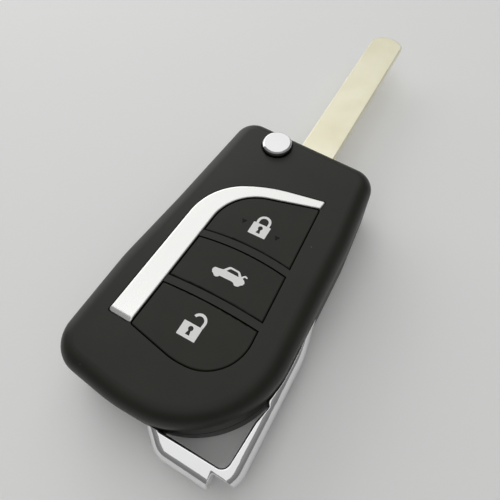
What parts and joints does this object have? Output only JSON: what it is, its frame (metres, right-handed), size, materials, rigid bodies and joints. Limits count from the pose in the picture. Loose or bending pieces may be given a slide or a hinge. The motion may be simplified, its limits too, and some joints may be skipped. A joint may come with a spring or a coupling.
{
  "type": "folding car key fob shell",
  "caption": "Folding car key fob with a soft black two-part shell, three push keys, a flip-out plain blade, a release button and a bright corner loop for a key ring.",
  "frame": {"origin": "flip axis of the blade on the flat back face of the shell", "axes": "+Z out of the key side, +Y along the open blade, +X to the right as seen from the key side"},
  "size_m": [0.0414, 0.1236, 0.0174],
  "materials": {
    "soft_black": "soft-touch matt black moulding",
    "key_black": "matt black silicone keys",
    "bright_trim": "bright plated, satin on the face arc",
    "blade_nickel": "brushed nickel blank",
    "hub_black": "black glass-filled moulding",
    "steel": "plain bright steel",
    "mat_rubber": "dark grey silicone",
    "board_green": "green solder resist",
    "chip_black": "black moulding compound",
    "brass_clip": "plated spring brass"
  },
  "bodies": {
    "case": {"front_cover": "soft_black", "back_cover": "soft_black", "arc_trim": "bright_trim", "corner_loop": "bright_trim", "case_screws": "steel", "seal_mat": "mat_rubber", "board_carrier": "hub_black", "circuit_board": "board_green", "lock_switch": "hub_black", "trunk_switch": "hub_black", "unlock_switch": "hub_black", "radio_chip": "chip_black", "crystal": "steel", "antenna_coil": "chip_black", "transponder_chip": "chip_black", "coin_cell": "steel", "cell_clip_negative": "brass_clip", "cell_clip_positive": "brass_clip"},
    "flip": {"blade_hub": "hub_black", "key_blade": "blade_nickel", "blade_pin": "steel", "flip_spring": "steel"},
    "release_button": {"release_button": "bright_trim"},
    "lock_key": {"lock_key": "key_black", "lock_plunger": "hub_black"},
    "trunk_key": {"trunk_key": "key_black", "trunk_plunger": "hub_black"},
    "unlock_key": {"unlock_key": "key_black", "unlock_plunger": "hub_black"}
  },
  "joints": [
    {"name": "blade_flip", "type": "hinge", "parent": "case", "child": "flip", "pos_m": [0, 0, 0.009], "axis": [0, 0, 1], "range_deg": [0, 180], "stiffness_Nm_per_rad": 0.01},
    {"name": "button_press", "type": "slide", "parent": "flip", "child": "release_button", "axis": [0, 0, -1], "range_m": [0, 0.0016], "stiffness_N_per_m": 600, "deforming": ["flip_spring"]},
    {"name": "lock_press", "type": "slide", "parent": "case", "child": "lock_key", "axis": [0, 0, -1], "range_m": [0, 0.00035], "stiffness_N_per_m": 1500},
    {"name": "trunk_press", "type": "slide", "parent": "case", "child": "trunk_key", "axis": [0, 0, -1], "range_m": [0, 0.00035], "stiffness_N_per_m": 1500},
    {"name": "unlock_press", "type": "slide", "parent": "case", "child": "unlock_key", "axis": [0, 0, -1], "range_m": [0, 0.00035], "stiffness_N_per_m": 1500}
  ]
}
